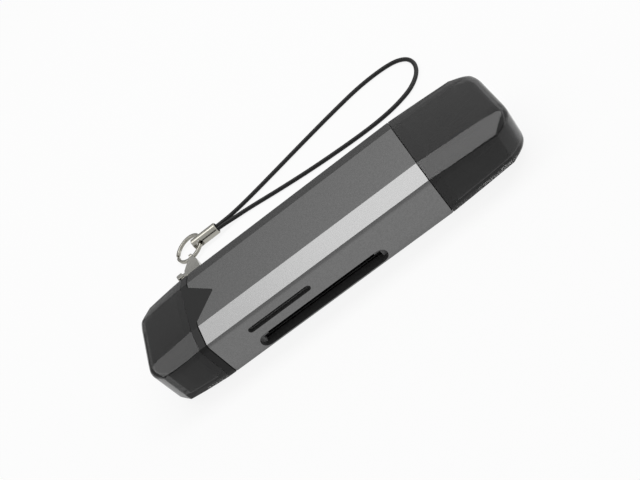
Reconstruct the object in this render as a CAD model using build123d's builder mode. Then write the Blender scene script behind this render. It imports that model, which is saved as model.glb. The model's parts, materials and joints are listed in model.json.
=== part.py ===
from build123d import *
import math
import os
from itertools import product

os.makedirs("parts", exist_ok=True)

# Pocket card reader with a USB-A plug at +X, a USB-C plug at -X, card slots on -Y and a wrist strap.
# Millimetres, +Z up, origin under the middle of the body.

# Body section and sleeve
body_width = 20.3
body_height = 10.9
bevel_run = 4.15
bevel_drop = 1.3
shoulder_run = 0.25
shoulder_drop = 0.9
shoulder_radius = 3.0
crease_radius = 2.0
shell_length = 45.5
shell_wall = 0.9
end_chamfer = 0.15
notch_half_width = 4.9
notch_depth = 4.75
notch_base_radius = 0.8
notch_tip_radius = 0.5

# Collar, end plug and their fits
collar_band = 1.4
spigot_length = 1.8
tenon_length = 5.0
press_gap = 0.04
slide_gap = 0.08
mouth_gap = 0.06

# Caps
cap_wall = 1.1
cap_end_wall = 1.0
cap_draft = 3.6
cap_a_bow = 0.12
cap_c_bow = 0.3
cap_a_end_width = 19.6
cap_c_end_width = 18.1
cap_corner_radius = 5.2
cap_nose = 1.0
cap_rim = 0.45

# USB-A plug
usb_a_width = 12.0
usb_a_height = 4.5
usb_a_reach = 12.0
usb_a_sheet = 0.32
usb_a_corner = 0.6
usb_a_tip_gap = 1.75
usb_a_tongue = 1.95
usb_a_block = 3.0
window_length = 2.5
window_width = 2.2
window_from_tip = 4.6
window_offset = 2.4

# USB-C plug
usb_c_width = 8.34
usb_c_height = 2.56
usb_c_reach = 6.5
usb_c_sheet = 0.2
usb_c_tip_gap = 1.25
usb_c_mouth_width = 6.7
usb_c_mouth_depth = 5.4
usb_c_pitch = 0.5
usb_c_pins = 12
usb_c_pin_width = 0.25
usb_c_pin_thick = 0.12

# Circuit board
board_thick = 0.8
board_half_width = 8.0
board_front_gap = 0.4
board_grip = 2.0
board_notch_gap = 0.2

# Card slots and sockets
sd_end_gap = 1.0
sd_slot_margin = 0.95
sd_slot_lip = 0.31
sd_card_width = 24.4
sd_card_step = 1.1
sd_step_height = 0.75
sd_channel = 2.25
sd_base = 0.95
sd_rail = 1.4
sd_depth = 15.0
sd_sheet = 0.25
sd_sheet_setback = 0.5
sd_pins = 9
sd_pitch = 2.5
microsd_end_gap = 1.16
microsd_slot_margin = 0.775
microsd_slot_lip = 0.195
microsd_card_width = 11.3
microsd_channel = 0.8
microsd_base = 0.575
microsd_rail = 1.25
microsd_depth = 14.4
microsd_sheet = 0.18
microsd_pins = 8
microsd_pitch = 1.1
socket_back_wall = 0.7
guide_thick = 1.1
guide_margin = 1.5
guide_height = 5.95
guide_foot = 0.2

# Spring contacts
contact_thick = 0.15
sd_pin_width = 0.9
sd_pin_rise = 0.6
sd_pin_length = 7.0
microsd_pin_width = 0.6
microsd_pin_rise = 0.4
microsd_pin_length = 5.0
usb_a_pin_width = 0.9
usb_a_pin_offsets = (-3.5, -1.0, 1.0, 3.5)
usb_a_fast_width = 0.5
usb_a_fast_offsets = (-4.5, -2.2, 0.0, 2.2, 4.5)
usb_a_fast_from_tip = 8.6
usb_a_fast_rise = 0.6
usb_a_pin_from_tip = 1.2
tail_length = 1.5

# Small components on the board
controller_size = 7.0
controller_thick = 0.9
regulator_length = 2.9
regulator_width = 1.6
regulator_thick = 1.1
crystal_length = 3.2
crystal_width = 2.5
crystal_thick = 0.8
chip_length = 1.0
chip_width = 0.5
led_length = 1.6
led_width = 0.8
led_thick = 0.6
part_spacing = 1.8

# Strap ear and clasp
ear_thick = 1.2
ear_radius = 2.0
ear_hole_radius = 1.15
ear_reach = 1.75
clasp_eye_x = -27.55
clasp_eye_y = 26.65
clasp_eye_z = 0.87
clasp_eye_radius = 0.85
clasp_eye_hole = 0.6
clasp_eye_width = 0.6
clasp_thick = 1.3
clasp_neck = 0.4
clasp_blade_x = 4.8
clasp_blade = 1.35
clasp_waist_x = 9.6
clasp_waist = 1.75
clasp_throat = 0.7
clasp_cheek = 1.9
clasp_cheek_length = 2.6
clasp_cheek_round = 1.3
hook_radius = 2.0
hook_width = 1.0
hook_tip = 1.0
hook_run = 2.6
gate_thick = 0.6
gate_gap = 0.05
gate_width = 0.7
gate_pivot = (7.4, -0.7)
gate_slot_length = 5.4
gate_slot_shift = 0.7
gate_slot_reach = 1.3
lever_reach = 2.5
lever_width = 2.4
lever_lean = 8
lever_pad = 1.3
pin_radius = 0.35

# Ring, ferrule and cord
ring_x = -27.55
ring_y = 29.87
ring_z = 0.9
ring_normal = Vector(-0.12, -0.02, 1.0)
ring_radius = 3.2
ring_wire = 0.6
ring_turn = 0.38
ring_groove = 0.08
ring_split = 0.15
ferrule_radius = 1.25
ferrule_bore = 1.0
ferrule_length = 6.1
ferrule_nose = 1.5
ferrule_hole = 0.85
ferrule_height = 1.3
ferrule_chamfer = 0.15
cord_diameter = 0.9
cord_sides = 8
cord_bend_share = 0.45
cord_route = [
    (-21.9, 29.70, 1.26),
    (-19.0, 29.70, 1.26),
    (-16.3, 30.85, 0.60),
    (-11.2, 32.15, 0.46),
    (-3.9, 34.15, 0.45),
    (4.2, 36.40, 0.45),
    (12.3, 38.50, 0.45),
    (20.5, 40.25, 0.45),
    (27.7, 39.95, 0.45),
    (30.7, 37.85, 0.45),
    (31.5, 34.75, 0.45),
    (30.8, 31.45, 0.45),
    (28.9, 28.85, 0.45),
    (26.3, 27.10, 0.45),
    (21.5, 25.75, 0.45),
    (15.1, 25.45, 0.45),
    (4.2, 26.30, 0.45),
    (-4.9, 27.65, 0.45),
    (-12.3, 29.05, 0.46),
    (-16.1, 29.25, 0.62),
    (-19.0, 28.80, 1.26),
    (-21.9, 28.80, 1.26),
]

# Places along the length
cap_a_length = spigot_length + usb_a_reach + usb_a_tip_gap + cap_end_wall
cap_c_length = spigot_length + usb_c_reach + usb_c_tip_gap + cap_end_wall
total_length = cap_c_length + collar_band + shell_length + cap_a_length
cap_c_tip_x = -total_length / 2
collar_x = cap_c_tip_x + cap_c_length
shell_x0 = collar_x + collar_band
shell_x1 = shell_x0 + shell_length
cap_a_tip_x = shell_x1 + cap_a_length
tenon_c_x = shell_x0 + tenon_length
tenon_a_x = shell_x1 - tenon_length
board_x0 = tenon_c_x - board_grip
board_x1 = tenon_a_x + board_grip
usb_a_back_x = tenon_a_x + board_notch_gap
usb_a_tip_x = shell_x1 + spigot_length + usb_a_reach
usb_c_tip_x = collar_x - spigot_length - usb_c_reach

# Places across the width and up the height
half_width = body_width / 2
flat_half = half_width - bevel_run
mid_z = body_height / 2
board_z0 = mid_z - board_thick / 2
board_z1 = mid_z + board_thick / 2
guide_y0 = -half_width + shell_wall
guide_y1 = guide_y0 + guide_thick
sd_half = sd_card_width / 2 + sd_rail
sd_x = tenon_c_x + sd_end_gap + sd_sheet + sd_half
sd_top_z = board_z0 - sd_base
sd_floor_z = sd_top_z - sd_channel
sd_mid_z = (sd_top_z + sd_floor_z) / 2
sd_slot_length = sd_card_width + 2 * sd_slot_margin
sd_slot_height = sd_channel + 2 * sd_slot_lip
microsd_half = microsd_card_width / 2 + microsd_rail
microsd_x = tenon_c_x + microsd_end_gap + microsd_sheet + microsd_half
microsd_floor_z = board_z1 + microsd_base
microsd_top_z = microsd_floor_z + microsd_channel
microsd_mid_z = (microsd_floor_z + microsd_top_z) / 2
microsd_slot_length = microsd_card_width + 2 * microsd_slot_margin
microsd_slot_height = microsd_channel + 2 * microsd_slot_lip
usb_a_inner_width = usb_a_width - 2 * usb_a_sheet
usb_a_inner_height = usb_a_height - 2 * usb_a_sheet
tongue_z0 = mid_z - usb_a_inner_height / 2
tongue_z1 = tongue_z0 + usb_a_tongue
ear_x = collar_x + collar_band / 2
ear_y = half_width + ear_reach


def across(x, way=1):
    """Plane across the length at x, with the width along its X and the height along its Y."""
    return Plane(origin=(x, 0, mid_z), x_dir=(0, way, 0), z_dir=(way, 0, 0))


def section_face(plane, inset=0.0):
    """Plain eight-sided body section, drawn in by inset."""
    slope = math.hypot(bevel_run, bevel_drop)
    side_y = half_width - inset
    side_z = mid_z - bevel_drop - inset * (slope - bevel_drop) / bevel_run
    flat_y = flat_half - inset * (slope - bevel_run) / bevel_drop
    flat_z = mid_z - inset
    quarter = [(side_y, side_z), (flat_y, flat_z)]
    upper = quarter + [(-y, z) for y, z in reversed(quarter)]
    lower = [(-y, -z) for y, z in upper]
    with BuildSketch(plane) as face:
        with BuildLine():
            Polyline(*upper, *lower, close=True)
        make_face()
    return face.sketch


def outer_face(plane):
    """Outer body section: crisp edges over a soft shoulder on each side, rounded creases beside the flats."""
    edge_y = half_width - shoulder_run
    edge_z = mid_z - bevel_drop * (bevel_run - shoulder_run) / bevel_run
    quarter = [(half_width, edge_z - shoulder_drop), (edge_y, edge_z), (flat_half, mid_z)]
    upper = quarter + [(-y, z) for y, z in reversed(quarter)]
    lower = [(-y, -z) for y, z in upper]
    with BuildSketch(plane) as face:
        with BuildLine():
            Polyline(*upper, *lower, close=True)
        make_face()
        shoulders = face.vertices().filter_by(lambda v: abs(abs(v.X) - half_width) < 0.01)
        creases = face.vertices().filter_by(lambda v: abs(abs(v.X) - flat_half) < 0.01)
        fillet(shoulders, shoulder_radius)
        fillet(creases, crease_radius)
    return face.sketch


def notch_face(gap=0.0):
    """Plan of the pointed notch in the sleeve's end, drawn in by gap for the tab that fills it."""
    strip = notch_half_width + notch_base_radius
    with BuildSketch() as face:
        with BuildLine():
            Polyline(
                (collar_x, -strip),
                (shell_x0, -strip),
                (shell_x0, -notch_half_width),
                (shell_x0 + notch_depth, 0),
                (shell_x0, notch_half_width),
                (shell_x0, strip),
                (collar_x, strip),
                close=True,
            )
        make_face()
        bases = face.vertices().filter_by(lambda v: abs(abs(v.Y) - notch_half_width) < 0.01)
        fillet(bases, notch_base_radius)
        fillet(face.vertices().sort_by(Axis.X)[-1], notch_tip_radius)
        if gap > 0:
            offset(amount=-gap)
    return face.sketch


def cap_form(mouth_x, tip_x, inset, end_width, bow):
    """Cap with bowed sides and round corners in plan, cut by drafted top, bevel and nose planes."""
    way = math.copysign(1, tip_x - mouth_x)
    mouth_half = half_width - inset
    end_half = end_width / 2 - inset
    mid_x = (mouth_x + tip_x) / 2
    mid_half = (mouth_half + end_half) / 2 + bow
    with BuildSketch() as plan:
        with BuildLine():
            Line((mouth_x, -mouth_half), (mouth_x, mouth_half))
            ThreePointArc((mouth_x, mouth_half), (mid_x, mid_half), (tip_x, end_half))
            Line((tip_x, end_half), (tip_x, -end_half))
            ThreePointArc((tip_x, -end_half), (mid_x, -mid_half), (mouth_x, -mouth_half))
        make_face()
        corners = plan.vertices().filter_by(lambda v: abs(v.X - tip_x) < 0.01)
        fillet(corners, cap_corner_radius - inset)
    lean = Vector(way * math.tan(math.radians(cap_draft)), 0, 0)
    with BuildPart() as form:
        extrude(plan.sketch, amount=body_height)
        for up, side in product((1, -1), (0, 1, -1)):
            outward = Vector(0, 0, up)
            if side != 0:
                outward = Vector(0, side * bevel_drop, up * bevel_run).normalized()
            crease = Vector(mouth_x, side * flat_half, mid_z + up * mid_z)
            cut = Plane(origin=crease - outward * inset, z_dir=outward + lean)
            split(bisect_by=cut, keep=Keep.BOTTOM)
        nose_half = mid_z - inset - abs(tip_x - mouth_x) * math.tan(math.radians(cap_draft)) - cap_nose
        for up in (1, -1):
            nose_edge = Vector(tip_x, 0, mid_z + up * nose_half)
            split(bisect_by=Plane(origin=nose_edge, z_dir=(way, 0, up)), keep=Keep.BOTTOM)
    return form.part


def crease_edges(part):
    """Edges of a cap where its bevels meet its top and bottom."""
    lengthwise = part.edges().filter_by(lambda e: abs(e.tangent_at(0.5).X) > 0.95)
    return lengthwise.filter_by(lambda e: abs(abs(e.center().Y) - flat_half) < bevel_run / 2)


def rim_edges(part, mouth_x):
    """Edges where a cap's upright walls meet its top, bottom and bevels."""
    walls = part.faces().filter_by(lambda f: abs(f.normal_at().Z) < 0.001)
    outer_walls = walls.filter_by(lambda f: abs(f.center().X - mouth_x) > 0.01)
    level = outer_walls.edges().filter_by(lambda e: abs(e.tangent_at(0.5).Z) < 0.9)
    return level.filter_by(lambda e: abs(e.center().X - mouth_x) > 0.01)


# Aluminium sleeve
with BuildPart() as shell:
    extrude(outer_face(across(shell_x0)), amount=shell_length)
    chamfer(shell.faces().filter_by(Axis.X).edges(), end_chamfer)
    extrude(section_face(across(shell_x0), inset=shell_wall), amount=shell_length, mode=Mode.SUBTRACT)
    extrude(notch_face(), amount=body_height, mode=Mode.SUBTRACT)
    with BuildSketch(Plane.XZ.offset(half_width)):
        with Locations((sd_x, sd_mid_z)):
            SlotOverall(sd_slot_length, sd_slot_height)
        with Locations((microsd_x, microsd_mid_z)):
            SlotOverall(microsd_slot_length, microsd_slot_height)
    extrude(amount=-(shell_wall + guide_thick + sd_sheet_setback), mode=Mode.SUBTRACT)
shell.part.label = "shell"
export_step(shell.part, "parts/shell.step")

# Collar between the sleeve and the short cap, with tabs in both notches and the strap ear
with BuildPart() as collar:
    extrude(outer_face(across(collar_x)), amount=collar_band - press_gap)
    extrude(section_face(across(collar_x, -1), cap_wall + slide_gap), amount=spigot_length, taper=cap_draft)
    extrude(section_face(across(collar_x), shell_wall + press_gap), amount=collar_band + tenon_length)
    extrude(notch_face(press_gap), amount=body_height)
    with BuildSketch(Plane.YZ.offset(ear_x)):
        with Locations((ear_y, mid_z)):
            Circle(ear_radius)
        with Locations((ear_y / 2 + half_width / 2 - ear_reach / 2, mid_z)):
            Rectangle(2 * ear_reach, 2 * ear_radius)
    extrude(amount=ear_thick / 2, both=True)
    with BuildSketch(Plane.YZ.offset(ear_x)):
        with Locations((ear_y, mid_z)):
            Circle(ear_hole_radius)
    extrude(amount=ear_thick, both=True, mode=Mode.SUBTRACT)
    with BuildSketch(across(collar_x - spigot_length)):
        SlotOverall(usb_c_width + 2 * press_gap, usb_c_height + 2 * press_gap)
    extrude(amount=spigot_length + collar_band + tenon_length, mode=Mode.SUBTRACT)
    with BuildSketch(across(board_x0 - press_gap)):
        Rectangle(2 * (board_half_width + press_gap), board_thick + 2 * press_gap)
        Rectangle(2 * board_half_width - 2 * cap_wall, usb_c_height)
    extrude(amount=tenon_length, mode=Mode.SUBTRACT)
collar.part.label = "collar"
export_step(collar.part, "parts/collar.step")

# End plug that holds the USB-A plug and carries the long cap
with BuildPart() as end_plug:
    extrude(section_face(across(tenon_a_x), shell_wall + press_gap), amount=tenon_length)
    extrude(section_face(across(shell_x1), cap_wall + slide_gap), amount=spigot_length, taper=cap_draft)
    with BuildSketch(across(tenon_a_x)):
        RectangleRounded(usb_a_width + 2 * press_gap, usb_a_height + 2 * press_gap, usb_a_corner)
    extrude(amount=tenon_length + spigot_length, mode=Mode.SUBTRACT)
    with BuildSketch(across(tenon_a_x)):
        Rectangle(2 * (board_half_width + press_gap), board_thick + 2 * press_gap)
    extrude(amount=board_grip + press_gap, mode=Mode.SUBTRACT)
end_plug.part.label = "end_plug"
export_step(end_plug.part, "parts/end_plug.step")

# Guide behind the card slots, with a stepped window for the SD card
upward = (Align.CENTER, Align.MIN)
downward = (Align.CENTER, Align.MAX)
with BuildPart() as slot_guide:
    with BuildSketch(Plane.XZ.offset(-guide_y0)):
        with Locations((sd_x, sd_floor_z + guide_foot)):
            Rectangle(sd_slot_length + 2 * guide_margin, guide_height, align=upward)
        with Locations((sd_x, sd_floor_z)):
            Rectangle(sd_card_width, sd_channel - sd_step_height, align=upward, mode=Mode.SUBTRACT)
            Rectangle(sd_card_width - 2 * sd_card_step, sd_channel, align=upward, mode=Mode.SUBTRACT)
        with Locations((microsd_x, microsd_mid_z)):
            Rectangle(microsd_card_width, microsd_channel, mode=Mode.SUBTRACT)
    extrude(amount=-guide_thick)
slot_guide.part.label = "slot_guide"
export_step(slot_guide.part, "parts/slot_guide.step")

# Circuit board, forked round the USB-A plug
with BuildPart() as circuit_board:
    with BuildSketch(Plane.XY.offset(board_z0)):
        with BuildLine():
            fork_y = usb_a_width / 2 + board_notch_gap
            fork_x = tenon_a_x - press_gap
            front_y = guide_y1 + board_front_gap
            Polyline(
                (board_x0, -board_half_width),
                (tenon_c_x, -board_half_width),
                (tenon_c_x, front_y),
                (fork_x, front_y),
                (fork_x, -board_half_width),
                (board_x1, -board_half_width),
                (board_x1, -fork_y),
                (fork_x, -fork_y),
                (fork_x, fork_y),
                (board_x1, fork_y),
                (board_x1, board_half_width),
                (board_x0, board_half_width),
                close=True,
            )
        make_face()
    extrude(amount=board_thick)
circuit_board.part.label = "circuit_board"
export_step(circuit_board.part, "parts/circuit_board.step")

# Controller and small components, seated on the board right of the microSD socket
seated = (Align.CENTER, Align.CENTER, Align.MIN)
controller_x = (microsd_x + microsd_half + tenon_a_x) / 2
bench_y = controller_size / 2 + part_spacing
with BuildPart() as controller_chip:
    with Locations((controller_x, 0, board_z1)):
        Box(controller_size, controller_size, controller_thick, align=seated)
    chamfer(controller_chip.faces().sort_by(Axis.Z)[-1].edges(), end_chamfer)
controller_chip.part.label = "controller_chip"
export_step(controller_chip.part, "parts/controller_chip.step")

with BuildPart() as regulator_chip:
    with Locations((controller_x + part_spacing, bench_y, board_z1)):
        Box(regulator_length, regulator_width, regulator_thick, align=seated)
regulator_chip.part.label = "regulator_chip"
export_step(regulator_chip.part, "parts/regulator_chip.step")

with BuildPart() as crystal:
    with Locations((controller_x + part_spacing, -bench_y, board_z1)):
        Box(crystal_length, crystal_width, crystal_thick, align=seated)
    fillet(crystal.edges().filter_by(Axis.Z), chip_width)
crystal.part.label = "crystal"
export_step(crystal.part, "parts/crystal.step")

with BuildPart() as capacitors:
    with Locations((controller_x - 1.5 * part_spacing, bench_y, board_z1)):
        with GridLocations(part_spacing, 2 * chip_width, 2, 3):
            Box(chip_length, chip_width, chip_width, align=seated)
capacitors.part.label = "capacitors"
export_step(capacitors.part, "parts/capacitors.step")

with BuildPart() as resistors:
    with Locations((controller_x - 1.5 * part_spacing, -bench_y, board_z1)):
        with GridLocations(part_spacing, 2 * chip_width, 2, 3):
            Box(chip_length, chip_width, chip_width / 2, align=seated)
resistors.part.label = "resistors"
export_step(resistors.part, "parts/resistors.step")

with BuildPart() as status_led:
    with Locations((tenon_c_x - led_width, board_half_width - 2 * led_width - cap_wall, board_z1)):
        Box(led_width, led_length, led_thick, align=seated)
status_led.part.label = "status_led"
export_step(status_led.part, "parts/status_led.step")

# SD socket under the board: moulded body, folded cover and spring contacts
with BuildPart() as sd_socket_body:
    with BuildSketch(Plane.XY.offset(sd_floor_z)):
        with Locations((sd_x, guide_y1)):
            Rectangle(2 * sd_half, sd_depth, align=upward)
    extrude(amount=board_z0 - sd_floor_z)
    with BuildSketch(Plane.XY.offset(sd_floor_z)):
        with Locations((sd_x, guide_y1)):
            Rectangle(sd_card_width, sd_depth - socket_back_wall, align=upward)
    extrude(amount=sd_channel, mode=Mode.SUBTRACT)
sd_socket_body.part.label = "sd_socket_body"
export_step(sd_socket_body.part, "parts/sd_socket_body.step")

with BuildPart() as sd_socket_cover:
    with BuildSketch(Plane.XZ.offset(-guide_y1 - sd_sheet_setback)):
        with Locations((sd_x, sd_floor_z - sd_sheet)):
            Rectangle(2 * (sd_half + sd_sheet), sd_sheet + sd_channel, align=upward)
        with Locations((sd_x, sd_floor_z)):
            Rectangle(2 * sd_half, sd_channel, align=upward, mode=Mode.SUBTRACT)
    extrude(amount=sd_sheet_setback - sd_depth)
    with BuildSketch(Plane.XY):
        with Locations((sd_x, guide_y1 + sd_depth / 2)):
            with GridLocations(sd_card_width / 2, 0, 2, 1):
                SlotOverall(sd_depth / 3, 2 * sd_pin_width, rotation=90)
    extrude(amount=sd_floor_z, mode=Mode.SUBTRACT)
sd_socket_cover.part.label = "sd_socket_cover"
export_step(sd_socket_cover.part, "parts/sd_socket_cover.step")

with BuildPart() as sd_contacts:
    for pin in range(sd_pins):
        pin_x = sd_x + (pin - (sd_pins - 1) / 2) * sd_pitch
        root_y = guide_y1 + sd_depth - socket_back_wall
        seat_z = sd_top_z - contact_thick / 2
        with BuildSketch(Plane.YZ.offset(pin_x)):
            with BuildLine():
                Polyline(
                    (root_y, seat_z),
                    (root_y - 0.6 * sd_pin_length, seat_z),
                    (root_y - 0.9 * sd_pin_length, seat_z - sd_pin_rise),
                    (root_y - sd_pin_length, seat_z - sd_pin_rise / 2),
                )
            trace(line_width=contact_thick)
        extrude(amount=sd_pin_width / 2, both=True)
sd_contacts.part.label = "sd_contacts"
export_step(sd_contacts.part, "parts/sd_contacts.step")

# microSD socket on the board: moulded body, folded cover and spring contacts
with BuildPart() as microsd_socket_body:
    with BuildSketch(Plane.XY.offset(board_z1)):
        with Locations((microsd_x, guide_y1)):
            Rectangle(2 * microsd_half, microsd_depth, align=upward)
    extrude(amount=microsd_top_z - board_z1)
    with BuildSketch(Plane.XY.offset(microsd_floor_z)):
        with Locations((microsd_x, guide_y1)):
            Rectangle(microsd_card_width, microsd_depth - socket_back_wall, align=upward)
    extrude(amount=microsd_channel, mode=Mode.SUBTRACT)
microsd_socket_body.part.label = "microsd_socket_body"
export_step(microsd_socket_body.part, "parts/microsd_socket_body.step")

with BuildPart() as microsd_socket_cover:
    with BuildSketch(Plane.XZ.offset(-guide_y1)):
        with Locations((microsd_x, microsd_top_z + microsd_sheet)):
            Rectangle(2 * (microsd_half + microsd_sheet), microsd_sheet + microsd_channel, align=downward)
        with Locations((microsd_x, microsd_top_z)):
            Rectangle(2 * microsd_half, microsd_channel, align=downward, mode=Mode.SUBTRACT)
    extrude(amount=-microsd_depth)
    with BuildSketch(Plane.XY.offset(microsd_top_z)):
        with Locations((microsd_x, guide_y1 + microsd_depth / 2)):
            with GridLocations(microsd_card_width / 2, 0, 2, 1):
                SlotOverall(microsd_depth / 3, 2 * microsd_pin_width, rotation=90)
    extrude(amount=microsd_sheet, mode=Mode.SUBTRACT)
microsd_socket_cover.part.label = "microsd_socket_cover"
export_step(microsd_socket_cover.part, "parts/microsd_socket_cover.step")

with BuildPart() as microsd_contacts:
    for pin in range(microsd_pins):
        pin_x = microsd_x + (pin - (microsd_pins - 1) / 2) * microsd_pitch
        root_y = guide_y1 + microsd_depth - socket_back_wall
        seat_z = microsd_floor_z + contact_thick / 2
        with BuildSketch(Plane.YZ.offset(pin_x)):
            with BuildLine():
                Polyline(
                    (root_y, seat_z),
                    (root_y - 0.6 * microsd_pin_length, seat_z),
                    (root_y - 0.9 * microsd_pin_length, seat_z + microsd_pin_rise),
                    (root_y - microsd_pin_length, seat_z + microsd_pin_rise / 2),
                )
            trace(line_width=contact_thick)
        extrude(amount=microsd_pin_width / 2, both=True)
microsd_contacts.part.label = "microsd_contacts"
export_step(microsd_contacts.part, "parts/microsd_contacts.step")

# USB-A plug: folded shell, contacts and the tongue that carries them
with BuildPart() as usb_a_shell:
    with BuildSketch(across(usb_a_back_x)):
        RectangleRounded(usb_a_width, usb_a_height, usb_a_corner)
        inner_corner = usb_a_corner - usb_a_sheet
        RectangleRounded(usb_a_inner_width, usb_a_inner_height, inner_corner, mode=Mode.SUBTRACT)
    extrude(amount=usb_a_tip_x - usb_a_back_x)
    with BuildSketch(Plane.XY):
        with Locations((usb_a_tip_x - window_from_tip - window_length / 2, 0)):
            with GridLocations(0, 2 * window_offset, 1, 2):
                Rectangle(window_length, window_width)
    extrude(amount=body_height, mode=Mode.SUBTRACT)
usb_a_shell.part.label = "usb_a_shell"
export_step(usb_a_shell.part, "parts/usb_a_shell.step")

tail_x = tenon_a_x - tail_length
tail_z = board_z1 + contact_thick / 2
pad_z = tongue_z1 + contact_thick / 2
bend_x = usb_a_back_x + board_notch_gap
pin_stem = [(tail_x, tail_z), (usb_a_back_x, tail_z), (bend_x + tail_z - pad_z, pad_z)]
fast_x = usb_a_tip_x - usb_a_fast_from_tip
with BuildPart() as usb_a_contacts:
    for pin_y in usb_a_pin_offsets:
        with BuildSketch(Plane.XZ.offset(-pin_y)):
            with BuildLine():
                Polyline(*pin_stem, (usb_a_tip_x - usb_a_pin_from_tip, pad_z))
            trace(line_width=contact_thick)
        extrude(amount=usb_a_pin_width / 2, both=True)
    for pin_y in usb_a_fast_offsets:
        with BuildSketch(Plane.XZ.offset(-pin_y)):
            with BuildLine():
                Polyline(
                    *pin_stem,
                    (fast_x - 2 * usb_a_fast_rise, pad_z),
                    (fast_x - usb_a_fast_rise, pad_z + usb_a_fast_rise),
                    (fast_x, pad_z + contact_thick),
                )
            trace(line_width=contact_thick)
        extrude(amount=usb_a_fast_width / 2, both=True)
usb_a_contacts.part.label = "usb_a_contacts"
export_step(usb_a_contacts.part, "parts/usb_a_contacts.step")

forward = (Align.MIN, Align.CENTER)
insulator_width = usb_a_inner_width - 2 * press_gap - usb_a_corner
with BuildPart() as usb_a_insulator:
    with BuildSketch(Plane.XY.offset(tongue_z0)):
        with Locations((usb_a_back_x, 0)):
            Rectangle(usb_a_tip_x - usb_a_back_x - usb_a_sheet, insulator_width, align=forward)
    extrude(amount=usb_a_tongue)
    with BuildSketch(Plane.XY.offset(tongue_z0)):
        with Locations((usb_a_back_x, 0)):
            Rectangle(usb_a_block, insulator_width, align=forward)
    extrude(amount=usb_a_inner_height - press_gap)
    add(usb_a_contacts.part, mode=Mode.SUBTRACT)
usb_a_insulator.part.label = "usb_a_insulator"
export_step(usb_a_insulator.part, "parts/usb_a_insulator.step")

# USB-C plug: drawn shell, two rows of contacts and the insert that holds them
usb_c_back_x = board_x0 - 2 * press_gap
with BuildPart() as usb_c_shell:
    with BuildSketch(across(usb_c_tip_x)):
        SlotOverall(usb_c_width, usb_c_height)
        SlotOverall(usb_c_width - 2 * usb_c_sheet, usb_c_height - 2 * usb_c_sheet, mode=Mode.SUBTRACT)
    extrude(amount=usb_c_back_x - usb_c_tip_x)
    tip_edges = usb_c_shell.faces().sort_by(Axis.X)[0].outer_wire().edges()
    chamfer(tip_edges, usb_c_sheet / 2)
usb_c_shell.part.label = "usb_c_shell"
export_step(usb_c_shell.part, "parts/usb_c_shell.step")

with BuildPart() as usb_c_contacts:
    pin_x0 = usb_c_tip_x + 2 * usb_c_sheet + usb_c_pin_width
    pin_x1 = board_x0 + tail_length
    for pin_z in (board_z0 - usb_c_pin_thick, board_z1):
        with BuildSketch(Plane.XY.offset(pin_z)):
            with Locations(((pin_x0 + pin_x1) / 2, 0)):
                with GridLocations(0, usb_c_pitch, 1, usb_c_pins):
                    Rectangle(pin_x1 - pin_x0, usb_c_pin_width)
        extrude(amount=usb_c_pin_thick)
usb_c_contacts.part.label = "usb_c_contacts"
export_step(usb_c_contacts.part, "parts/usb_c_contacts.step")

with BuildPart() as usb_c_insulator:
    with BuildSketch(across(usb_c_tip_x + usb_c_sheet)):
        SlotOverall(usb_c_width - 2 * usb_c_sheet - press_gap, usb_c_height - 2 * usb_c_sheet - press_gap)
    extrude(amount=usb_c_back_x - usb_c_tip_x - usb_c_sheet)
    with BuildSketch(across(usb_c_tip_x + usb_c_sheet)):
        Rectangle(usb_c_mouth_width, board_thick + 2 * usb_c_pin_thick)
    extrude(amount=usb_c_mouth_depth, mode=Mode.SUBTRACT)
    add(usb_c_contacts.part, mode=Mode.SUBTRACT)
usb_c_insulator.part.label = "usb_c_insulator"
export_step(usb_c_insulator.part, "parts/usb_c_insulator.step")

# Smoked caps
cap_a_mouth_x = shell_x1 + mouth_gap
cap_a_shape = (cap_a_end_width, cap_a_bow)
cap_a_core = cap_form(cap_a_mouth_x, cap_a_tip_x - cap_end_wall, cap_wall, *cap_a_shape)
with BuildPart() as cap_a:
    add(cap_form(cap_a_mouth_x, cap_a_tip_x, 0, *cap_a_shape))
    fillet(crease_edges(cap_a.part), crease_radius)
    chamfer(rim_edges(cap_a.part, cap_a_mouth_x), cap_rim)
    add(cap_a_core, mode=Mode.SUBTRACT)
cap_a.part.label = "cap_a"
export_step(cap_a.part, "parts/cap_a.step")

cap_c_mouth_x = collar_x - mouth_gap
cap_c_shape = (cap_c_end_width, cap_c_bow)
cap_c_core = cap_form(cap_c_mouth_x, cap_c_tip_x + cap_end_wall, cap_wall, *cap_c_shape)
with BuildPart() as cap_c:
    add(cap_form(cap_c_mouth_x, cap_c_tip_x, 0, *cap_c_shape))
    fillet(crease_edges(cap_c.part), crease_radius)
    chamfer(rim_edges(cap_c.part, cap_c_mouth_x), cap_rim)
    add(cap_c_core, mode=Mode.SUBTRACT)
cap_c.part.label = "cap_c"
export_step(cap_c.part, "parts/cap_c.step")

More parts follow.
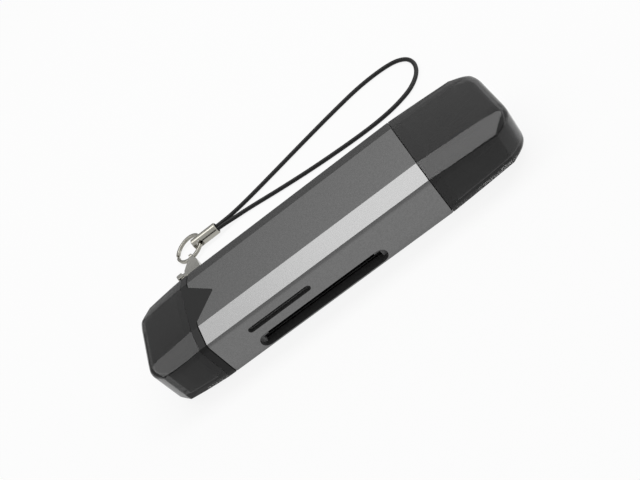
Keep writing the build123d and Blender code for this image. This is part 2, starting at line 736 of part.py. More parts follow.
# Strap clasp: X of its plane runs from the ring's eye to the ear, Y across it
clasp_eye = Vector(clasp_eye_x, clasp_eye_y, clasp_eye_z)
ear_hole = Vector(ear_x, ear_y, mid_z)
clasp_axis = ear_hole - clasp_eye
clasp_length = clasp_axis.length
clasp_side = Vector(1, 0, 0) - clasp_axis * (clasp_axis.X / clasp_length**2)
clasp_plane = Plane(origin=clasp_eye, x_dir=clasp_axis, z_dir=clasp_axis.cross(clasp_side))
eye_plane = Plane(origin=clasp_eye, x_dir=clasp_axis, z_dir=clasp_side)
hook_x = clasp_length - hook_radius
hook_outer = hook_radius + hook_width / 2
hook_inner = hook_radius - hook_width / 2
shoulder_x = hook_x - hook_run
pivot_x, pivot_y = gate_pivot
with BuildPart() as clasp_body:
    with BuildSketch(clasp_plane):
        with BuildLine():
            Polyline(
                (clasp_eye_hole, clasp_neck),
                (clasp_blade_x, clasp_blade),
                (clasp_waist_x, clasp_waist),
                (shoulder_x, hook_outer),
                (hook_x, hook_outer),
            )
            ThreePointArc((hook_x, hook_outer), (hook_x + hook_outer, 0), (hook_x, -hook_outer))
            Polyline(
                (hook_x, -hook_outer),
                (hook_x - hook_tip, -hook_outer),
                (hook_x - hook_tip, -hook_inner),
                (hook_x, -hook_inner),
            )
            ThreePointArc((hook_x, -hook_inner), (hook_x + hook_inner, 0), (hook_x, hook_inner))
            Polyline(
                (hook_x, hook_inner),
                (shoulder_x + hook_width / 2, hook_inner),
                (pivot_x + clasp_cheek_length, clasp_throat),
                (pivot_x + clasp_cheek_length - hook_width / 2, pivot_y),
                (pivot_x + clasp_cheek_length - clasp_cheek_round, -clasp_cheek),
                (pivot_x - clasp_cheek_round, -clasp_cheek),
                (clasp_eye_hole, -clasp_neck),
                (clasp_eye_hole, clasp_neck),
            )
        make_face()
    extrude(amount=clasp_thick / 2, both=True)
    with BuildSketch(eye_plane):
        Circle(clasp_eye_radius)
    extrude(amount=clasp_eye_width / 2, both=True)
    with BuildSketch(eye_plane):
        Circle(clasp_eye_hole)
    extrude(amount=clasp_eye_width, both=True, mode=Mode.SUBTRACT)
    with BuildSketch(clasp_plane):
        with Locations((pivot_x + gate_slot_shift, pivot_y + gate_slot_reach)):
            Rectangle(gate_slot_length, 2 * clasp_cheek, align=downward)
    extrude(amount=gate_thick / 2 + gate_gap, both=True, mode=Mode.SUBTRACT)
    with BuildSketch(clasp_plane):
        with Locations(gate_pivot):
            Circle(pin_radius)
    extrude(amount=clasp_thick, both=True, mode=Mode.SUBTRACT)
clasp_body.part.label = "clasp_body"
export_step(clasp_body.part, "parts/clasp_body.step")

with BuildPart() as clasp_gate:
    gate_outer = -hook_inner + gate_gap
    gate_end_x = hook_x - gate_gap
    with BuildSketch(clasp_plane):
        with BuildLine():
            Polyline(
                (pivot_x, pivot_y + gate_width / 2),
                (gate_end_x, gate_outer + gate_width),
                (gate_end_x, gate_outer),
                (pivot_x, pivot_y - gate_width),
                close=True,
            )
        make_face()
        with Locations(gate_pivot):
            Circle(gate_width)
        with Locations((pivot_x - lever_width / 4, pivot_y)):
            Rectangle(lever_width, lever_reach, align=downward, rotation=lever_lean)
    extrude(amount=gate_thick / 2, both=True)
    with BuildSketch(clasp_plane):
        with Locations((pivot_x - lever_width / 4, pivot_y - lever_reach)):
            RectangleRounded(lever_width, lever_pad, gate_thick / 2, rotation=lever_lean)
    extrude(amount=clasp_thick / 2, both=True)
    with BuildSketch(clasp_plane):
        with Locations(gate_pivot):
            Circle(pin_radius + gate_gap)
    extrude(amount=clasp_thick, both=True, mode=Mode.SUBTRACT)
clasp_gate.part.label = "clasp_gate"
export_step(clasp_gate.part, "parts/clasp_gate.step")

with BuildPart() as clasp_pin:
    with BuildSketch(clasp_plane):
        with Locations(gate_pivot):
            Circle(pin_radius)
    extrude(amount=clasp_thick / 2, both=True)
clasp_pin.part.label = "clasp_pin"
export_step(clasp_pin.part, "parts/clasp_pin.step")

# Split ring: two turns of wire, each with its end open
ring_centre = Vector(ring_x, ring_y, ring_z)
ring_level = Vector(1, 0, -ring_normal.X / ring_normal.Z)
ring_plane = Plane(origin=ring_centre, x_dir=ring_level, z_dir=ring_normal)
ring_side = Plane(origin=ring_centre, x_dir=ring_level, z_dir=ring_normal.cross(ring_level) * -1)
turn_corner = (ring_wire / 2 - ring_groove, ring_turn)
turn_edge = (ring_wire / 2, ring_turn - ring_groove)
turn_quarter = [turn_corner, turn_edge, (ring_wire / 2, ring_groove), (ring_wire / 2 - ring_groove, 0)]
turn_half = turn_quarter + [(r, -h) for r, h in reversed(turn_quarter[:-1])]
turn_outline = turn_half + [(-r, -h) for r, h in turn_half]
with BuildPart() as split_ring:
    with BuildSketch(ring_side):
        with Locations((ring_radius, 0)):
            Polygon(*turn_outline, align=None)
    revolve(axis=Axis(ring_centre, ring_normal))
    split_size = (2 * ring_wire, ring_split, ring_turn)
    with Locations(ring_plane):
        with Locations((-ring_radius, 0, ring_turn / 2), (0, ring_radius, -ring_turn / 2)):
            Box(*split_size, mode=Mode.SUBTRACT)
split_ring.part.label = "split_ring"
export_step(split_ring.part, "parts/split_ring.step")

# Ferrule: one tube, cross-drilled for the ring and bored for the cord's two ends
ferrule_y = (cord_route[0][1] + cord_route[-1][1]) / 2
ring_mid_x = ring_x + math.sqrt(ring_radius**2 - (ferrule_y - ring_y) ** 2)
ring_near_x = ring_x + math.sqrt(ring_radius**2 - (ferrule_y - ferrule_radius - ring_y) ** 2)
ferrule_hole_x = (ring_mid_x + ring_near_x) / 2
ferrule_x = ferrule_hole_x - ferrule_nose
with BuildPart() as ferrule:
    with BuildSketch(Plane.YZ.offset(ferrule_x)):
        with Locations((ferrule_y, ferrule_height)):
            Circle(ferrule_radius)
    extrude(amount=ferrule_length)
    chamfer(ferrule.edges().filter_by(GeomType.CIRCLE), ferrule_chamfer)
    with BuildSketch(Plane.XZ.offset(-ferrule_y)):
        with Locations((ferrule_hole_x, ferrule_height)):
            Circle(ferrule_hole)
    extrude(amount=ferrule_radius, both=True, mode=Mode.SUBTRACT)
    with BuildSketch(Plane.YZ.offset(cord_route[0][0])):
        with Locations((ferrule_y, ferrule_height)):
            Circle(ferrule_bore)
    extrude(amount=ferrule_length, mode=Mode.SUBTRACT)
ferrule.part.label = "ferrule"
export_step(ferrule.part, "parts/ferrule.step")

# Cord loop, both ends in the ferrule
route = [Vector(*point) for point in cord_route]
radii = []
for before, corner, after in zip(route, route[1:], route[2:]):
    run_in = corner - before
    run_out = after - corner
    half_turn = math.radians(run_in.get_angle(run_out)) / 2
    radii.append(cord_bend_share * min(run_in.length, run_out.length) / math.tan(half_turn))
with BuildPart() as cord:
    with BuildLine():
        cord_path = FilletPolyline(*route, radius=radii)
    with BuildSketch(Plane(origin=cord_path @ 0, z_dir=cord_path % 0)):
        RegularPolygon(cord_diameter / 2, cord_sides)
    sweep()
cord.part.label = "cord"
export_step(cord.part, "parts/cord.step")
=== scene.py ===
import json
import math
from collections import namedtuple

import bmesh
import bpy
from mathutils import Matrix, Vector


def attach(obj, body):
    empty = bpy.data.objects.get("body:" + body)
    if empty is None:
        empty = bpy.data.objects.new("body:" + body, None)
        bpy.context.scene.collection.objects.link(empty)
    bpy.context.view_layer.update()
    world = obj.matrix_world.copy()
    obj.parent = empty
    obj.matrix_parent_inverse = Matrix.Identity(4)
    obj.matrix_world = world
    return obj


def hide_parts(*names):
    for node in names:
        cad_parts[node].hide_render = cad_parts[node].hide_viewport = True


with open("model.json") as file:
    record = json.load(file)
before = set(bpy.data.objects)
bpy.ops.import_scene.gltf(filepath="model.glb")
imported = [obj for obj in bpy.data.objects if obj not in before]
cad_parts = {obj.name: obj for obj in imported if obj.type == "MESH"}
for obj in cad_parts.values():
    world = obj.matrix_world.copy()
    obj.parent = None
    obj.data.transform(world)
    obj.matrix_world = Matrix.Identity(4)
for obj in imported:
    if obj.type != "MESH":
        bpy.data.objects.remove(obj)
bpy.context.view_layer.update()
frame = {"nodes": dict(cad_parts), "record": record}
nodes = frame["nodes"]

MM = 0.001
MM_PLACES = 3

# Camera at the photograph's viewing angle
CAMERA_PLACE = Vector((22.356, -122.400, 100.142)) * MM
CAMERA_RIGHT = Vector((0.79201, -0.27267, -0.54623))
CAMERA_UP = Vector((0.59229, 0.56012, 0.57919))
LENS_MM = 51.02
SENSOR_MM = 36.0
NEAREST_SEEN = 0.001

# Studio, metres and watts; levels are shares of white
FLOOR_SIZE = 3.0
FLOOR_DROP = 0.00002
FLOOR_WHITE = 0.95
SHADOW_SHARE = 0.12
WORLD_FILL = 0.38
ROOM_SPAN = (-0.45, 0.2)
ROOM_LEVELS = (0.65, 1.05)
SOFTBOX_PLACE = (0.26, 0.165, 0.57)
SOFTBOX_SIZE = (0.8, 0.22)
SOFTBOX_POWER = 1.9
LEFT_BOX_PLACE = (-0.39, 0.165, 0.57)
LEFT_BOX_SIZE = (0.5, 0.22)
LEFT_BOX_POWER = 0.8
BACK_CARD = ((-0.5, 0.13, 0.0), (0.06, 0.13, 0.06))
BACK_CARD_LEVEL = 0.3
FRONT_CARD = ((-0.2, -0.06, 0.0), (0.2, -0.06, 0.04))
FRONT_CARD_LEVEL = 0.4

# Materials: part of the noise's range that is used, and how far plastic and roughness vary
PATTERN_LOW = 0.3
PATTERN_HIGH = 0.7
PLASTIC_SPREAD = 0.15
ROUGHNESS_SPREAD = 0.05

# Body section that the caps carry on, millimetres; a corner is its distance from the middle in Y and Z
MID_Z = 5.45
FLAT_HALF = 6.0
BEVEL_SLOPE = 1.3 / 4.15
EDGE_CORNER = (9.9, 4.228)
SIDE_CORNER = (10.15, 3.328)

# Caps, millimetres and degrees
CapShape = namedtuple("CapShape", "end_half bow corner nose draft")
LONG_CAP = CapShape(end_half=9.8, bow=0.15, corner=5.1, nose=1.75, draft=3.7)
SHORT_CAP = CapShape(end_half=9.15, bow=0.3, corner=3.5, nose=1.5, draft=4.3)
CAP_SEAM_CLOSE = 0.04
CAP_WALL = 1.1
CAP_END_WALL = 1.0
CAP_MOUTH_RADIUS = 0.02
CAP_EDGE_RADIUS = 0.5
CAP_CORE_RADIUS = 0.45
CAP_SIDE_STEPS = 4
CAP_CORNER_STEPS = 8
NOSE_FLAT_SHARE = 0.75
BALL_STEPS = 16

# Card slots, millimetres: the walls lie before this Y and between these heights, and hardly face along Y
SLOT_WALL_Y = -8.5
SLOT_LOW_Z = 1.2
SLOT_HIGH_Z = 8.0
SLOT_WALL_FACING = 0.1

# Mesh finishing: weld distance in millimetres, angles in degrees
WELD_GAP = 0.001
FLAT_ANGLE = 0.5
HULL_FLAT_ANGLE = 0.3
CREASE_ANGLE = 14
ROUND_ANGLE = 35
ROUND_SEGMENTS = 2
CAP_SMOOTH_ANGLE = 32
RING_SMOOTH_ANGLE = 50
FACE_WEIGHT = 100

# Split ring, millimetres
RING_CENTRE = Vector((-27.55, 29.87, 0.9))
RING_NORMAL = Vector((-0.12, -0.02, 1.0)).normalized()
RING_RADIUS = 3.2
RING_WIDTH = 0.6
RING_TURN = 0.37
RING_ROUND = 0.12
RING_STEPS = 220
RING_SPAN = 1.97
RING_CROSSING = 0.08

# Cord, metres and counts, with its route in millimetres
CORD_DIAMETER = 0.9 * MM
CORD_ROUND_STEPS = 5
CORD_LINE_STEPS = 10
CORD_ORDER = 3
CORD_ROUTE_MM = [
    (-21.9, 29.70, 1.26),
    (-19.0, 29.70, 1.26),
    (-16.3, 30.85, 0.60),
    (-11.2, 32.15, 0.46),
    (-3.9, 34.15, 0.45),
    (4.2, 36.40, 0.45),
    (12.3, 38.50, 0.45),
    (20.5, 40.25, 0.45),
    (27.7, 39.95, 0.45),
    (30.7, 37.85, 0.45),
    (31.5, 34.75, 0.45),
    (30.8, 31.45, 0.45),
    (28.9, 28.85, 0.45),
    (26.3, 27.10, 0.45),
    (21.5, 25.75, 0.45),
    (15.1, 25.45, 0.45),
    (4.2, 26.30, 0.45),
    (-4.9, 27.65, 0.45),
    (-12.3, 29.05, 0.46),
    (-16.1, 29.25, 0.62),
    (-19.0, 28.80, 1.26),
    (-21.9, 28.80, 1.26),
]


def new_material(name, colour, roughness, metallic=0.0):
    """A Principled material with its plain values set on the shader's own sockets."""
    made = bpy.data.materials.new(name)
    made.use_nodes = True
    shader = made.node_tree.nodes["Principled BSDF"]
    shader.inputs["Base Color"].default_value = (*colour, 1)
    shader.inputs["Metallic"].default_value = metallic
    shader.inputs["Roughness"].default_value = roughness
    return made, shader


def noise_of(made, scale, detail=2, stretch=(1, 1, 1)):
    """Noise over the object's own place in metres, stretched along an axis where asked."""
    tree = made.node_tree
    place = tree.nodes.new("ShaderNodeTexCoord")
    mapping = tree.nodes.new("ShaderNodeMapping")
    mapping.inputs["Scale"].default_value = stretch
    noise = tree.nodes.new("ShaderNodeTexNoise")
    noise.inputs["Scale"].default_value = scale
    noise.inputs["Detail"].default_value = detail
    tree.links.new(place.outputs["Object"], mapping.inputs["Vector"])
    tree.links.new(mapping.outputs["Vector"], noise.inputs["Vector"])
    return noise.outputs["Fac"]


def vary_colour(made, shader, fac, dark, light):
    """Base colour runs from dark to light with the pattern."""
    tree = made.node_tree
    ramp = tree.nodes.new("ShaderNodeValToRGB")
    ramp.color_ramp.elements[0].position = PATTERN_LOW
    ramp.color_ramp.elements[1].position = PATTERN_HIGH
    ramp.color_ramp.elements[0].color = (*dark, 1)
    ramp.color_ramp.elements[1].color = (*light, 1)
    tree.links.new(fac, ramp.inputs["Fac"])
    tree.links.new(ramp.outputs["Color"], shader.inputs["Base Color"])


def vary_roughness(made, shader, fac, low, high):
    """Roughness runs from low to high with the pattern."""
    tree = made.node_tree
    span = tree.nodes.new("ShaderNodeMapRange")
    span.inputs["From Min"].default_value = PATTERN_LOW
    span.inputs["From Max"].default_value = PATTERN_HIGH
    span.inputs["To Min"].default_value = low
    span.inputs["To Max"].default_value = high
    tree.links.new(fac, span.inputs["Value"])
    tree.links.new(span.outputs["Result"], shader.inputs["Roughness"])


def add_bump(made, shader, fac, height, strength):
    """Raises the surface by the pattern, height in metres."""
    tree = made.node_tree
    bump = tree.nodes.new("ShaderNodeBump")
    bump.inputs["Strength"].default_value = strength
    bump.inputs["Distance"].default_value = height
    tree.links.new(fac, bump.inputs["Height"])
    tree.links.new(bump.outputs["Normal"], shader.inputs["Normal"])


def grey(value):
    """A neutral linear colour."""
    return (value, value, value)


def anodised_aluminium():
    """Bead-blasted grey anodising: fine grain in colour, gloss and height."""
    made, shader = new_material("anodised_aluminium", grey(0.18), metallic=1.0, roughness=0.28)
    shader.inputs["Specular Tint"].default_value = (*grey(0.55), 1)
    grain = noise_of(made, scale=4200, detail=3)
    vary_colour(made, shader, grain, grey(0.16), grey(0.2))
    vary_roughness(made, shader, grain, low=0.24, high=0.32)
    add_bump(made, shader, grain, height=0.000006, strength=0.6)
    return made


def moulded_plastic(name, colour, roughness, gloss=0.5):
    """Moulded plastic with a fine spark-eroded grain."""
    made, shader = new_material(name, colour, roughness=roughness)
    shader.inputs["Specular IOR Level"].default_value = gloss
    grain = noise_of(made, scale=5000)
    dark = [c * (1 - PLASTIC_SPREAD) for c in colour]
    light = [c * (1 + PLASTIC_SPREAD) for c in colour]
    vary_colour(made, shader, grain, dark, light)
    vary_roughness(made, shader, grain, roughness - ROUGHNESS_SPREAD, roughness + ROUGHNESS_SPREAD)
    add_bump(made, shader, grain, height=0.000004, strength=0.5)
    return made


def smoked_plastic():
    """Dark translucent plastic with a smooth gloss."""
    made, shader = new_material("smoked_plastic", grey(0.05), roughness=0.1)
    shader.inputs["Transmission Weight"].default_value = 1.0
    shader.inputs["IOR"].default_value = 1.38
    haze = noise_of(made, scale=900)
    vary_roughness(made, shader, haze, low=0.08, high=0.12)
    return made


def sheet_metal(name, colour, roughness, stretch=(1, 1, 1)):
    """Rolled or plated metal with a fine grain, drawn out along an axis where asked."""
    made, shader = new_material(name, colour, metallic=1.0, roughness=roughness)
    lines = noise_of(made, scale=3000, detail=3, stretch=stretch)
    vary_colour(made, shader, lines, [c * 0.92 for c in colour], [min(c * 1.06, 1) for c in colour])
    vary_roughness(made, shader, lines, roughness - ROUGHNESS_SPREAD, roughness + ROUGHNESS_SPREAD)
    add_bump(made, shader, lines, height=0.000001, strength=0.4)
    return made


def solder_mask():
    """Green lacquered board with a woven glass ground."""
    made, shader = new_material("solder_mask", (0.008, 0.05, 0.024), roughness=0.35)
    weave = noise_of(made, scale=2500, stretch=(1, 4, 1))
    vary_colour(made, shader, weave, (0.006, 0.042, 0.02), (0.01, 0.058, 0.028))
    add_bump(made, shader, weave, height=0.000002, strength=0.4)
    return made


def braided_cord():
    """Black braided nylon with a soft sheen."""
    made, shader = new_material("braided_cord", grey(0.007), roughness=0.5)
    shader.inputs["Specular IOR Level"].default_value = 0.3
    strands = noise_of(made, scale=4500)
    vary_colour(made, shader, strands, grey(0.005), grey(0.011))
    vary_roughness(made, shader, strands, low=0.44, high=0.56)
    add_bump(made, shader, strands, height=0.00001, strength=0.6)
    return made


along_x = (0.05, 1, 1)
finish = {
    "anodised_grey": anodised_aluminium(),
    "dark_plastic": moulded_plastic("dark_plastic", grey(0.009), 0.45, gloss=0.22),
    # guide_plastic's grey is set lighter than its own tone so the recessed guide tabs show lit: partly
    # painted light
    "guide_plastic": moulded_plastic("guide_plastic", grey(0.16), 0.5, gloss=0.3),
    "socket_plastic": moulded_plastic("socket_plastic", grey(0.02), 0.5),
    "chip_resin": moulded_plastic("chip_resin", grey(0.015), 0.6),
    "ceramic": moulded_plastic("ceramic", (0.32, 0.22, 0.14), 0.5),
    "led_lens": moulded_plastic("led_lens", (0.78, 0.78, 0.74), 0.3),
    "plug_blue": moulded_plastic("plug_blue", (0.02, 0.11, 0.5), 0.4),
    "smoked_plastic": smoked_plastic(),
    "board": solder_mask(),
    "can_steel": sheet_metal("can_steel", grey(0.3), 0.35, along_x),
    "plug_steel": sheet_metal("plug_steel", grey(0.6), 0.25, along_x),
    "contact_gold": sheet_metal("contact_gold", (0.8, 0.58, 0.24), 0.25, along_x),
    "nickel": sheet_metal("nickel", (0.38, 0.37, 0.33), 0.2),
    "cord_black": braided_cord(),
}
slot_of = {subpart["node"]: subpart["material_slot"] for subpart in frame["record"]["subparts"]}
for name, slot in slot_of.items():
    nodes[name].data.materials.clear()
    nodes[name].data.materials.append(finish[slot])


def place_piece(name, data, body, node):
    """Puts a made mesh or curve in the scene, in the stead of a CAD node."""
    made = bpy.data.objects.new(name, data)
    bpy.context.scene.collection.objects.link(made)
    made.data.materials.append(finish[slot_of[node]])
    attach(made, body)
    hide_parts(node)
    return made


def smooth_mesh(name, form, angle):
    """Turns a bmesh into a mesh that is smooth below an angle."""
    mesh = bpy.data.meshes.new(name)
    form.to_mesh(mesh)
    form.free()
    mesh.shade_smooth()
    mesh.set_sharp_from_angle(angle=math.radians(angle))
    return mesh


def weigh_normals(piece):
    """Keeps large faces flat beside the rounds that meet them."""
    weight = piece.modifiers.new("normals", "WEIGHTED_NORMAL")
    weight.weight = FACE_WEIGHT
    weight.keep_sharp = True


def softened(node, name, body, width):
    """A CAD node's form with its sharp edges broken by a small round."""
    source = nodes[node].data
    mesh = bpy.data.meshes.new(name)
    mesh.from_pydata([v.co for v in source.vertices], [], [p.vertices[:] for p in source.polygons])
    form = bmesh.new()
    form.from_mesh(mesh)
    bmesh.ops.remove_doubles(form, verts=form.verts, dist=WELD_GAP * MM)
    flat = math.radians(FLAT_ANGLE)
    bmesh.ops.dissolve_limit(form, angle_limit=flat, verts=form.verts, edges=form.edges)
    made = place_piece(name, smooth_mesh(name, form, CREASE_ANGLE), body, node)
    bevel = made.modifiers.new("edges", "BEVEL")
    bevel.width = width * MM
    bevel.segments = ROUND_SEGMENTS
    bevel.limit_method = "ANGLE"
    bevel.angle_limit = math.radians(ROUND_ANGLE)
    weigh_normals(made)
    return made


def line_and_shade_slots(piece):
    """Gives the walls of the card slots a dark matt grey, standing partly for a dark liner and partly for
    painted shade in the slot recesses.
    """
    # The walls' grey of 0.08 is partly painted shade where the slot recess is in shade
    piece.data.materials.append(moulded_plastic("slot_lining_and_shade", grey(0.08), 0.55, gloss=0.3))
    for face in piece.data.polygons:
        in_wall = face.center.y < SLOT_WALL_Y * MM and abs(face.normal.y) < SLOT_WALL_FACING
        if in_wall and SLOT_LOW_Z * MM < face.center.z < SLOT_HIGH_Z * MM:
            face.material_index = 1


def ball_points(centre, radius):
    """Points over a ball."""
    points = []
    for i in range(BALL_STEPS + 1):
        rise = math.pi * (i / BALL_STEPS - 0.5)
        for j in range(2 * BALL_STEPS):
            turn = math.pi * j / BALL_STEPS
            level = math.cos(rise)
            offset = Vector((level * math.cos(turn), level * math.sin(turn), math.sin(rise)))
            points.append((centre + offset * radius) * MM)
    return points


def cap_balls(mouth_x, tip_x, inset, end_inset, shape):
    """Balls whose hull is a cap: small ones along its edges, large ones round its nose."""
    end_half, bow, corner, nose, draft = shape
    way = math.copysign(1, tip_x - mouth_x)
    length = abs(tip_x - mouth_x) - end_inset
    fall = math.tan(math.radians(draft))
    side_half = SIDE_CORNER[0] - inset
    slope_gap = inset * (math.hypot(1, BEVEL_SLOPE) - 1)
    mouth_radius = CAP_CORE_RADIUS if inset else CAP_MOUTH_RADIUS
    nose = max(nose - inset, CAP_CORE_RADIUS)
    edge = CAP_CORE_RADIUS if inset else CAP_EDGE_RADIUS
    corner = corner - inset

    def top(s, y):
        return MID_Z - inset - max(0, y - FLAT_HALF) * BEVEL_SLOPE - slope_gap - s * fall

    def half_at(s):
        t = s / length
        return side_half + (end_half - inset - side_half) * t + bow * 4 * t * (1 - t)

    balls = []
    for step in range(CAP_SIDE_STEPS):
        share = step / CAP_SIDE_STEPS
        s = length * share
        radius = mouth_radius + (edge - mouth_radius) * share
        half = half_at(s)
        edge_y = half - (SIDE_CORNER[0] - EDGE_CORNER[0]) * (1 - share) - radius
        side_z = top(s, half) - (EDGE_CORNER[1] - SIDE_CORNER[1]) - radius
        balls.append((s, FLAT_HALF, top(s, FLAT_HALF) - radius, radius))
        balls.append((s, edge_y, top(s, edge_y) - radius * math.hypot(1, BEVEL_SLOPE), radius))
        balls.append((s, half - radius, side_z, radius))
    for step in range(CAP_CORNER_STEPS + 1):
        turn = math.pi / 2 * step / CAP_CORNER_STEPS
        radius = edge + (nose - edge) * math.sin(turn)
        s = length - corner + (corner - radius) * math.sin(turn)
        y = half_at(length) - corner + (corner - radius) * math.cos(turn)
        balls.append((s, y, top(s, y) - radius * math.hypot(1, BEVEL_SLOPE), radius))
    s = length - nose
    balls.append((s, FLAT_HALF * NOSE_FLAT_SHARE, top(s, FLAT_HALF) - nose, nose))
    points = []
    for s, y, z, radius in balls:
        for side in (1, -1):
            for up in (1, -1):
                points += ball_points(Vector((mouth_x + way * s, side * y, MID_Z + up * z)), radius)
    return points


def cap_hull(mouth_x, tip_x, inset, end_inset, shape):
    """One open skin of a cap, cut flat at its mouth."""
    form = bmesh.new()
    for point in cap_balls(mouth_x, tip_x, inset, end_inset, shape):
        form.verts.new(point)
    made = bmesh.ops.convex_hull(form, input=form.verts)
    loose = {e for e in made["geom_interior"] + made["geom_unused"] if isinstance(e, bmesh.types.BMVert)}
    bmesh.ops.delete(form, geom=list(loose), context="VERTS")
    way = math.copysign(1, tip_x - mouth_x)
    every = form.verts[:] + form.edges[:] + form.faces[:]
    mouth = Vector((mouth_x * MM, 0, 0))
    bmesh.ops.bisect_plane(form, geom=every, plane_co=mouth, plane_no=(way, 0, 0), clear_inner=True)
    flat = math.radians(HULL_FLAT_ANGLE)
    bmesh.ops.dissolve_limit(form, angle_limit=flat, verts=form.verts, edges=form.edges)
    return form


def make_cap(name, body, shape):
    """A hollow rounded cap with an outer and an inner skin, its mouth drawn up to its seat."""
    ends = [round(v.co.x / MM, MM_PLACES) for v in nodes[body].data.vertices]
    mouth_x, tip_x = sorted((min(ends), max(ends)), key=abs)
    mouth_x -= math.copysign(CAP_SEAM_CLOSE, mouth_x)
    outer = cap_hull(mouth_x, tip_x, 0, 0, shape)
    inner = cap_hull(mouth_x, tip_x, CAP_WALL, CAP_END_WALL, shape)
    bmesh.ops.reverse_faces(inner, faces=inner.faces)
    skin = bpy.data.meshes.new(name + "_inner")
    inner.to_mesh(skin)
    inner.free()
    outer.from_mesh(skin)
    bpy.data.meshes.remove(skin)
    rims = [e for e in outer.edges if e.is_boundary]
    bmesh.ops.bridge_loops(outer, edges=rims)
    made = place_piece(name, smooth_mesh(name, outer, CAP_SMOOTH_ANGLE), body, body)
    weigh_normals(made)
    return made


def make_ring():
    """Split ring: two turns of flat wire with a crossing between them."""
    level = Vector((1, 0, -RING_NORMAL.x / RING_NORMAL.z)).normalized()
    depth = RING_NORMAL.cross(level)
    wide, tall = RING_WIDTH / 2 - RING_ROUND, RING_TURN / 2 - RING_ROUND
    section = []
    for start, (across, up) in enumerate(((wide, tall), (-wide, tall), (-wide, -tall), (wide, -tall))):
        for part in (0, 0.5, 1):
            turn = math.pi / 2 * (start + part)
            section.append((across + RING_ROUND * math.cos(turn), up + RING_ROUND * math.sin(turn)))
    form = bmesh.new()
    loops = []
    for step in range(RING_STEPS + 1):
        share = RING_SPAN * step / RING_STEPS
        rise = min(max((share - RING_SPAN / 2) / RING_CROSSING + 0.5, 0), 1)
        lift = RING_TURN * (rise * rise * (3 - 2 * rise) - 0.5)
        turn = 2 * math.pi * share + math.pi
        out = level * math.cos(turn) + depth * math.sin(turn)
        loop = []
        for across, up in section:
            place = RING_CENTRE + out * (RING_RADIUS + across) + RING_NORMAL * (lift + up)
            loop.append(form.verts.new(place * MM))
        loops.append(loop)
    for one, two in zip(loops, loops[1:]):
        for k in range(len(section)):
            after = (k + 1) % len(section)
            form.faces.new((one[k], one[after], two[after], two[k]))
    form.faces.new(loops[0])
    form.faces.new(loops[-1])
    bmesh.ops.recalc_face_normals(form, faces=form.faces)
    return place_piece("key_ring", smooth_mesh("key_ring", form, RING_SMOOTH_ANGLE), "ring", "split_ring")


def make_cord():
    """The strap's cord on one smooth line, both ends in the ferrule."""
    curve = bpy.data.curves.new("cord_line", "CURVE")
    curve.dimensions = "3D"
    curve.bevel_depth = CORD_DIAMETER / 2
    curve.bevel_resolution = CORD_ROUND_STEPS
    curve.resolution_u = CORD_LINE_STEPS
    curve.use_fill_caps = True
    line = curve.splines.new("NURBS")
    line.points.add(len(CORD_ROUTE_MM) - 1)
    for point, place in zip(line.points, CORD_ROUTE_MM):
        point.co = (*(c * MM for c in place), 1)
    line.order_u = CORD_ORDER
    line.use_endpoint_u = True
    return place_piece("strap_cord", curve, "strap", "cord")


line_and_shade_slots(softened("shell", "sleeve", "reader", width=0.07))
softened("collar", "end_collar", "reader", width=0.1)
make_cap("long_cap", "cap_a", LONG_CAP)
make_cap("short_cap", "cap_c", SHORT_CAP)
cord = make_cord()
strap_pieces = [
    softened("ferrule", "crimped_ferrule", "strap", width=0.12),
    make_ring(),
    softened("clasp_body", "strap_clasp", "clasp", width=0.12),
    softened("clasp_gate", "clasp_lever", "gate", width=0.1),
    nodes["clasp_pin"],
]


def seen_plainly(tree):
    """1 for rays that show the background to the eye, in a mirror or through glass."""
    path = tree.nodes.new("ShaderNodeLightPath")
    either = tree.nodes.new("ShaderNodeMath")
    either.operation = "MAXIMUM"
    tree.links.new(path.outputs["Is Camera Ray"], either.inputs[0])
    tree.links.new(path.outputs["Is Glossy Ray"], either.inputs[1])
    anyone = tree.nodes.new("ShaderNodeMath")
    anyone.operation = "MAXIMUM"
    tree.links.new(either.outputs[0], anyone.inputs[0])
    tree.links.new(path.outputs["Is Transmission Ray"], anyone.inputs[1])
    return anyone.outputs[0]


def make_floor():
    """White floor that keeps a faint shadow."""
    mesh = bpy.data.meshes.new("floor")
    half = FLOOR_SIZE / 2
    corners = [(-half, -half, 0), (half, -half, 0), (half, half, 0), (-half, half, 0)]
    mesh.from_pydata(corners, [], [(0, 1, 2, 3)])
    floor = bpy.data.objects.new("floor", mesh)
    floor.location.z = -FLOOR_DROP
    bpy.context.scene.collection.objects.link(floor)
    made = bpy.data.materials.new("white_floor")
    made.use_nodes = True
    tree = made.node_tree
    tree.nodes.clear()
    out = tree.nodes.new("ShaderNodeOutputMaterial")
    paint = tree.nodes.new("ShaderNodeBsdfDiffuse")
    paint.inputs["Color"].default_value = (*grey(FLOOR_WHITE), 1)
    glow = tree.nodes.new("ShaderNodeEmission")
    shade = tree.nodes.new("ShaderNodeMixShader")
    shade.inputs["Fac"].default_value = SHADOW_SHARE
    tree.links.new(glow.outputs[0], shade.inputs[1])
    tree.links.new(paint.outputs[0], shade.inputs[2])
    pick = tree.nodes.new("ShaderNodeMixShader")
    tree.links.new(seen_plainly(tree), pick.inputs["Fac"])
    tree.links.new(paint.outputs[0], pick.inputs[1])
    tree.links.new(shade.outputs[0], pick.inputs[2])
    tree.links.new(pick.outputs[0], out.inputs["Surface"])
    mesh.materials.append(made)


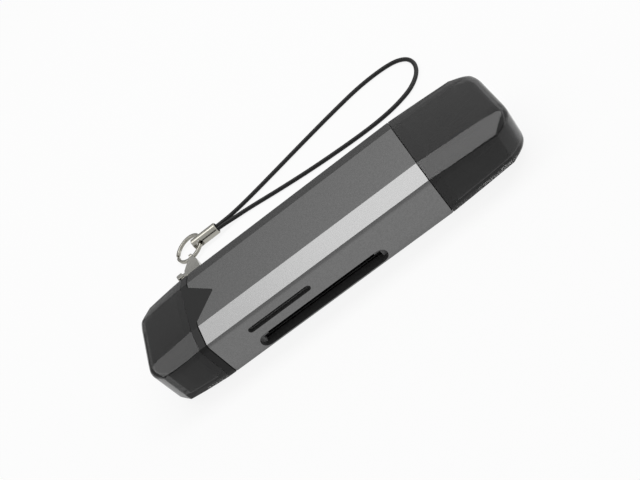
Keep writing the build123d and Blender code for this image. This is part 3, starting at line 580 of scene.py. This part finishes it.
def make_card(name, low, high, level):
    """A grey studio card that shows in reflections only."""
    mesh = bpy.data.meshes.new(name)
    corners = [low, (high[0], low[1], low[2]), high, (low[0], high[1], high[2])]
    mesh.from_pydata(corners, [], [(0, 1, 2, 3)])
    card = bpy.data.objects.new(name, mesh)
    bpy.context.scene.collection.objects.link(card)
    made = bpy.data.materials.new(name)
    made.use_nodes = True
    tree = made.node_tree
    tree.nodes.clear()
    out = tree.nodes.new("ShaderNodeOutputMaterial")
    glow = tree.nodes.new("ShaderNodeEmission")
    glow.inputs["Strength"].default_value = level
    tree.links.new(glow.outputs[0], out.inputs["Surface"])
    mesh.materials.append(made)
    card.visible_camera = False
    card.visible_diffuse = False
    card.visible_shadow = False


def room_level(tree):
    """White for the camera; in reflections the room dims towards the left."""
    place = tree.nodes.new("ShaderNodeTexCoord")
    way = tree.nodes.new("ShaderNodeSeparateXYZ")
    tree.links.new(place.outputs["Generated"], way.inputs["Vector"])
    room = tree.nodes.new("ShaderNodeMapRange")
    room.inputs["From Min"].default_value, room.inputs["From Max"].default_value = ROOM_SPAN
    room.inputs["To Min"].default_value, room.inputs["To Max"].default_value = ROOM_LEVELS
    tree.links.new(way.outputs["X"], room.inputs["Value"])
    path = tree.nodes.new("ShaderNodeLightPath")
    plain = tree.nodes.new("ShaderNodeMix")
    plain.inputs["B"].default_value = 1.0
    tree.links.new(path.outputs["Is Camera Ray"], plain.inputs["Factor"])
    tree.links.new(room.outputs["Result"], plain.inputs["A"])
    return plain.outputs["Result"]


def make_world():
    """White surroundings, with a softer fill on matt surfaces."""
    world = bpy.data.worlds.new("white_room")
    bpy.context.scene.world = world
    world.use_nodes = True
    tree = world.node_tree
    ground = tree.nodes["Background"]
    ground.inputs["Color"].default_value = (1, 1, 1, 1)
    level = tree.nodes.new("ShaderNodeMapRange")
    level.inputs["To Min"].default_value = WORLD_FILL
    tree.links.new(room_level(tree), level.inputs["To Max"])
    tree.links.new(seen_plainly(tree), level.inputs["Value"])
    tree.links.new(level.outputs["Result"], ground.inputs["Strength"])


def make_softbox(name, place, size, power):
    """A rectangular lamp at a place, pitched towards the object."""
    lamp = bpy.data.lights.new(name, "AREA")
    lamp.shape = "RECTANGLE"
    lamp.size, lamp.size_y = size
    lamp.energy = power
    made = bpy.data.objects.new(name, lamp)
    made.location = place
    made.rotation_euler.x = -math.atan2(place[1], place[2])
    bpy.context.scene.collection.objects.link(made)


def make_camera():
    """The camera that saw the photograph."""
    lens = bpy.data.cameras.new("camera")
    lens.lens = LENS_MM
    lens.sensor_width = SENSOR_MM
    lens.clip_start = NEAREST_SEEN
    camera = bpy.data.objects.new("camera", lens)
    back = CAMERA_RIGHT.cross(CAMERA_UP)
    turn = Matrix((CAMERA_RIGHT, CAMERA_UP, back)).transposed().to_4x4()
    camera.matrix_world = Matrix.Translation(CAMERA_PLACE) @ turn
    bpy.context.scene.collection.objects.link(camera)
    bpy.context.scene.camera = camera


make_floor()
make_card("back_card", *BACK_CARD, BACK_CARD_LEVEL)
make_card("front_card", *FRONT_CARD, FRONT_CARD_LEVEL)
make_world()
make_softbox("overhead", SOFTBOX_PLACE, SOFTBOX_SIZE, SOFTBOX_POWER)
make_softbox("overhead_left", LEFT_BOX_PLACE, LEFT_BOX_SIZE, LEFT_BOX_POWER)
make_camera()
bpy.context.scene.view_settings.view_transform = "Standard"
